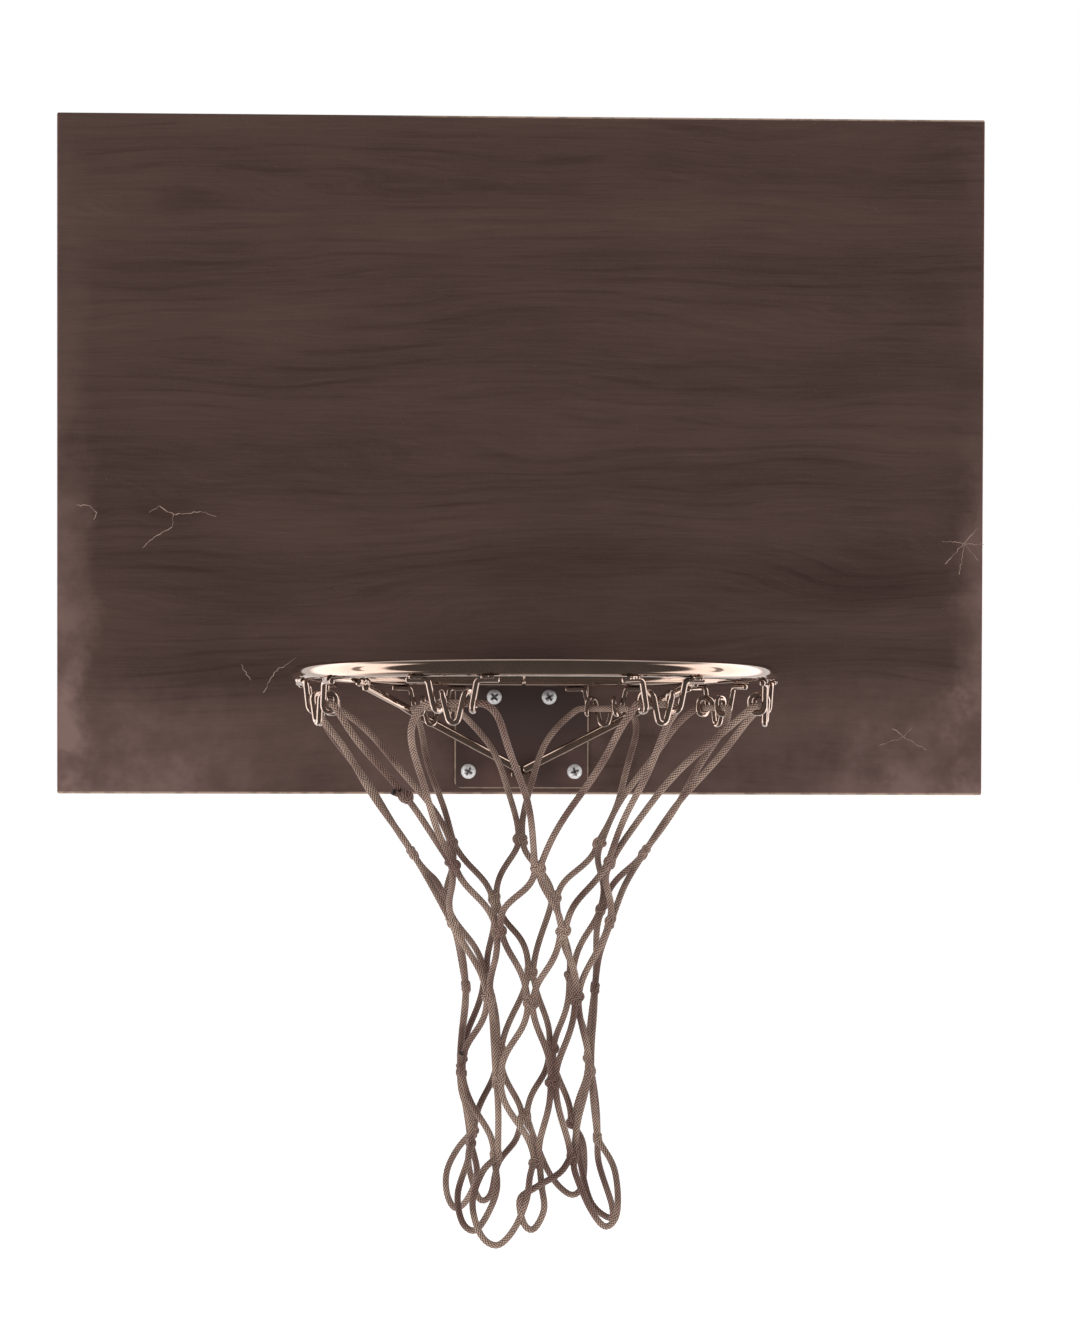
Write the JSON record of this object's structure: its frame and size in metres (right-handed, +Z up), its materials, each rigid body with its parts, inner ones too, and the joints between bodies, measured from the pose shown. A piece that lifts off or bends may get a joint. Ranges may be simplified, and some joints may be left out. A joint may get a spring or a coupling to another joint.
{
  "type": "wall basketball hoop",
  "caption": "Small wall-hung basketball hoop: stained wooden backboard, round-bar steel rim on a braced back plate, bent-wire net hooks and a knotted cord net.",
  "frame": {"origin": "centre of the backboard's back face, in the plane of the wall", "axes": "+X to the right as the hoop is faced, +Y into the wall, +Z up"},
  "size_m": [0.523, 0.2893, 0.5958],
  "materials": {
    "stained_wood": "dark brown stain with a thin satin lacquer, worn pale along some edges",
    "dark_painted_steel": "dark brown gloss paint over brushed-looking bar",
    "dark_painted_wire": "dark brown gloss paint, thick at the bends",
    "bright_zinc": "bright zinc plating",
    "brown_cord": "matt braided synthetic cord with a slight sheen"
  },
  "bodies": {
    "hoop": {"backboard": "stained_wood", "back_plate": "dark_painted_steel", "rim_ring": "dark_painted_steel", "rim_welds": "dark_painted_steel", "left_brace": "dark_painted_steel", "right_brace": "dark_painted_steel", "brace_welds": "dark_painted_steel", "plate_screw_top_left": "bright_zinc", "plate_screw_top_right": "bright_zinc", "plate_screw_low_left": "bright_zinc", "plate_screw_low_right": "bright_zinc", "net_hook_1": "dark_painted_wire", "net_hook_2": "dark_painted_wire", "net_hook_3": "dark_painted_wire", "net_hook_4": "dark_painted_wire", "net_hook_5": "dark_painted_wire", "net_hook_6": "dark_painted_wire", "net_hook_7": "dark_painted_wire", "net_hook_8": "dark_painted_wire", "net_loop_1": "brown_cord", "net_loop_2": "brown_cord", "net_loop_3": "brown_cord", "net_loop_4": "brown_cord", "net_loop_5": "brown_cord", "net_loop_6": "brown_cord", "net_loop_7": "brown_cord", "net_loop_8": "brown_cord"},
    "net_upper": {"net_knots_row_1": "brown_cord", "net_mesh_1": "brown_cord", "net_knots_row_2": "brown_cord", "net_mesh_2": "brown_cord"},
    "net_tail": {"net_knots_row_3": "brown_cord", "net_mesh_3": "brown_cord", "net_knots_row_4": "brown_cord", "net_mesh_4": "brown_cord", "net_knots_row_5": "brown_cord", "net_bottom_loops": "brown_cord"}
  },
  "joints": [
    {"name": "net_swing", "type": "hinge", "parent": "hoop", "child": "net_upper", "pos_m": [0, -0.16705, -0.143], "axis": [1, 0, 0], "range_deg": [-18, 18], "deforming": ["net_loop_1", "net_loop_2", "net_loop_3", "net_loop_4", "net_loop_5", "net_loop_6", "net_loop_7", "net_loop_8"]},
    {"name": "net_sway", "type": "hinge", "parent": "net_upper", "child": "net_tail", "pos_m": [-0.00197, -0.16706, -0.248], "axis": [0, 1, 0], "range_deg": [-15, 15], "deforming": ["net_mesh_2"]}
  ]
}
